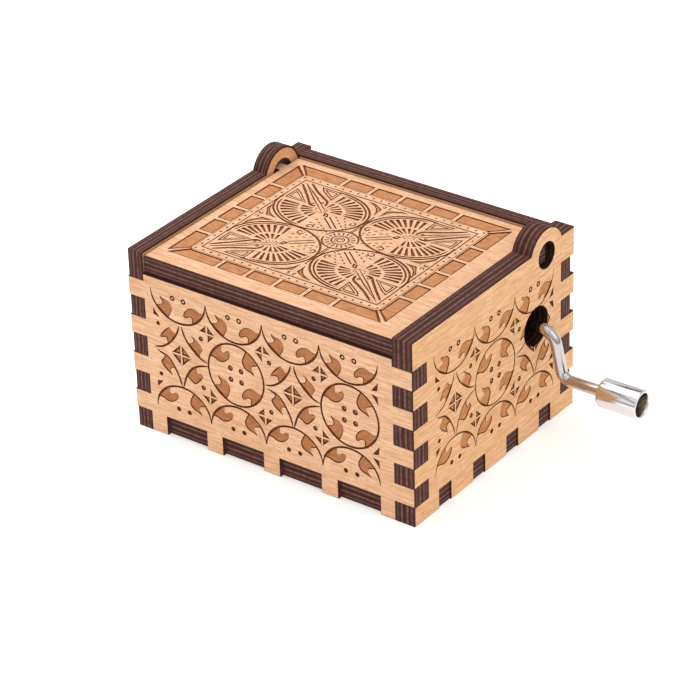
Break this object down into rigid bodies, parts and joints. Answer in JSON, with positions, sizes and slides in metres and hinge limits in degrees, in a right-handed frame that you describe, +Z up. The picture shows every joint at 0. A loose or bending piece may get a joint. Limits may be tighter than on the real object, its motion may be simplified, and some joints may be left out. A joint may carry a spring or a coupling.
{
  "type": "hand crank music box",
  "caption": "Small finger-jointed plywood box with an engraved lid on pegs, holding a comb-and-drum movement that a bent wire crank turns through a worm and wheel.",
  "frame": {"origin": "centre of the box's rectangular footprint, in the plane of its underside", "axes": "+Z up; +X towards the wall that the crank comes out of; +Y towards the back, where the lid is hinged, so -Y is the front"},
  "size_m": [0.0887, 0.053, 0.0422],
  "materials": {
    "plywood": "raw laser-cut basswood plywood with engraved pattern and burnt edges",
    "cast_zinc": "cast, matt",
    "plated_steel": "bright zinc plate",
    "screw_steel": "plated, slotted heads",
    "comb_steel": "ground and tuned spring steel",
    "brass": "turned and polished",
    "nylon": "moulded, natural",
    "chrome": "bright chrome plate"
  },
  "bodies": {
    "case": {"front_panel": "plywood", "back_panel": "plywood", "left_panel": "plywood", "right_panel": "plywood", "bottom_panel": "plywood", "bedplate": "cast_zinc", "mounting_screw_1": "screw_steel", "mounting_screw_2": "screw_steel", "mounting_screw_3": "screw_steel", "worm_bracket_left": "plated_steel", "worm_bracket_right": "plated_steel", "worm_bush_left": "brass", "worm_bush_right": "brass", "drum_bracket_front": "plated_steel", "drum_bracket_rear": "plated_steel", "worm_screw_left": "screw_steel", "worm_screw_right": "screw_steel", "drum_screw_front": "screw_steel", "drum_screw_rear": "screw_steel", "comb": "comb_steel", "comb_screw_1": "screw_steel", "comb_screw_2": "screw_steel", "comb_screw_3": "screw_steel"},
    "lid": {"lid_panel": "plywood"},
    "crank": {"worm_shaft": "plated_steel", "shaft_clip": "plated_steel", "crank_handle": "chrome", "knob_washer": "plated_steel"},
    "drum": {"drum": "brass", "drum_cap_front": "brass", "drum_cap_rear": "brass", "drum_arbor": "plated_steel", "worm_wheel": "nylon"},
    "knob": {"crank_knob": "chrome"}
  },
  "joints": [
    {"name": "lid_hinge", "type": "hinge", "parent": "case", "child": "lid", "pos_m": [0, 0.017, 0.0367], "axis": [-1, 0, 0], "range_deg": [0, 140]},
    {"name": "crank_spin", "type": "hinge", "parent": "case", "child": "crank", "pos_m": [0.0325, 0.0135, 0.0231], "axis": [1, 0, 0], "continuous": true},
    {"name": "drum_spin", "type": "hinge", "parent": "case", "child": "drum", "pos_m": [0.008, 0, 0.0143], "axis": [0, 1, 0], "continuous": true},
    {"name": "knob_spin", "type": "hinge", "parent": "crank", "child": "knob", "pos_m": [0.0516, 0.0135, 0.0137], "axis": [1, 0, 0], "continuous": true}
  ],
  "couplings": [
    {"joint": "drum_spin", "follows": "crank_spin", "ratio": -0.0625}
  ]
}
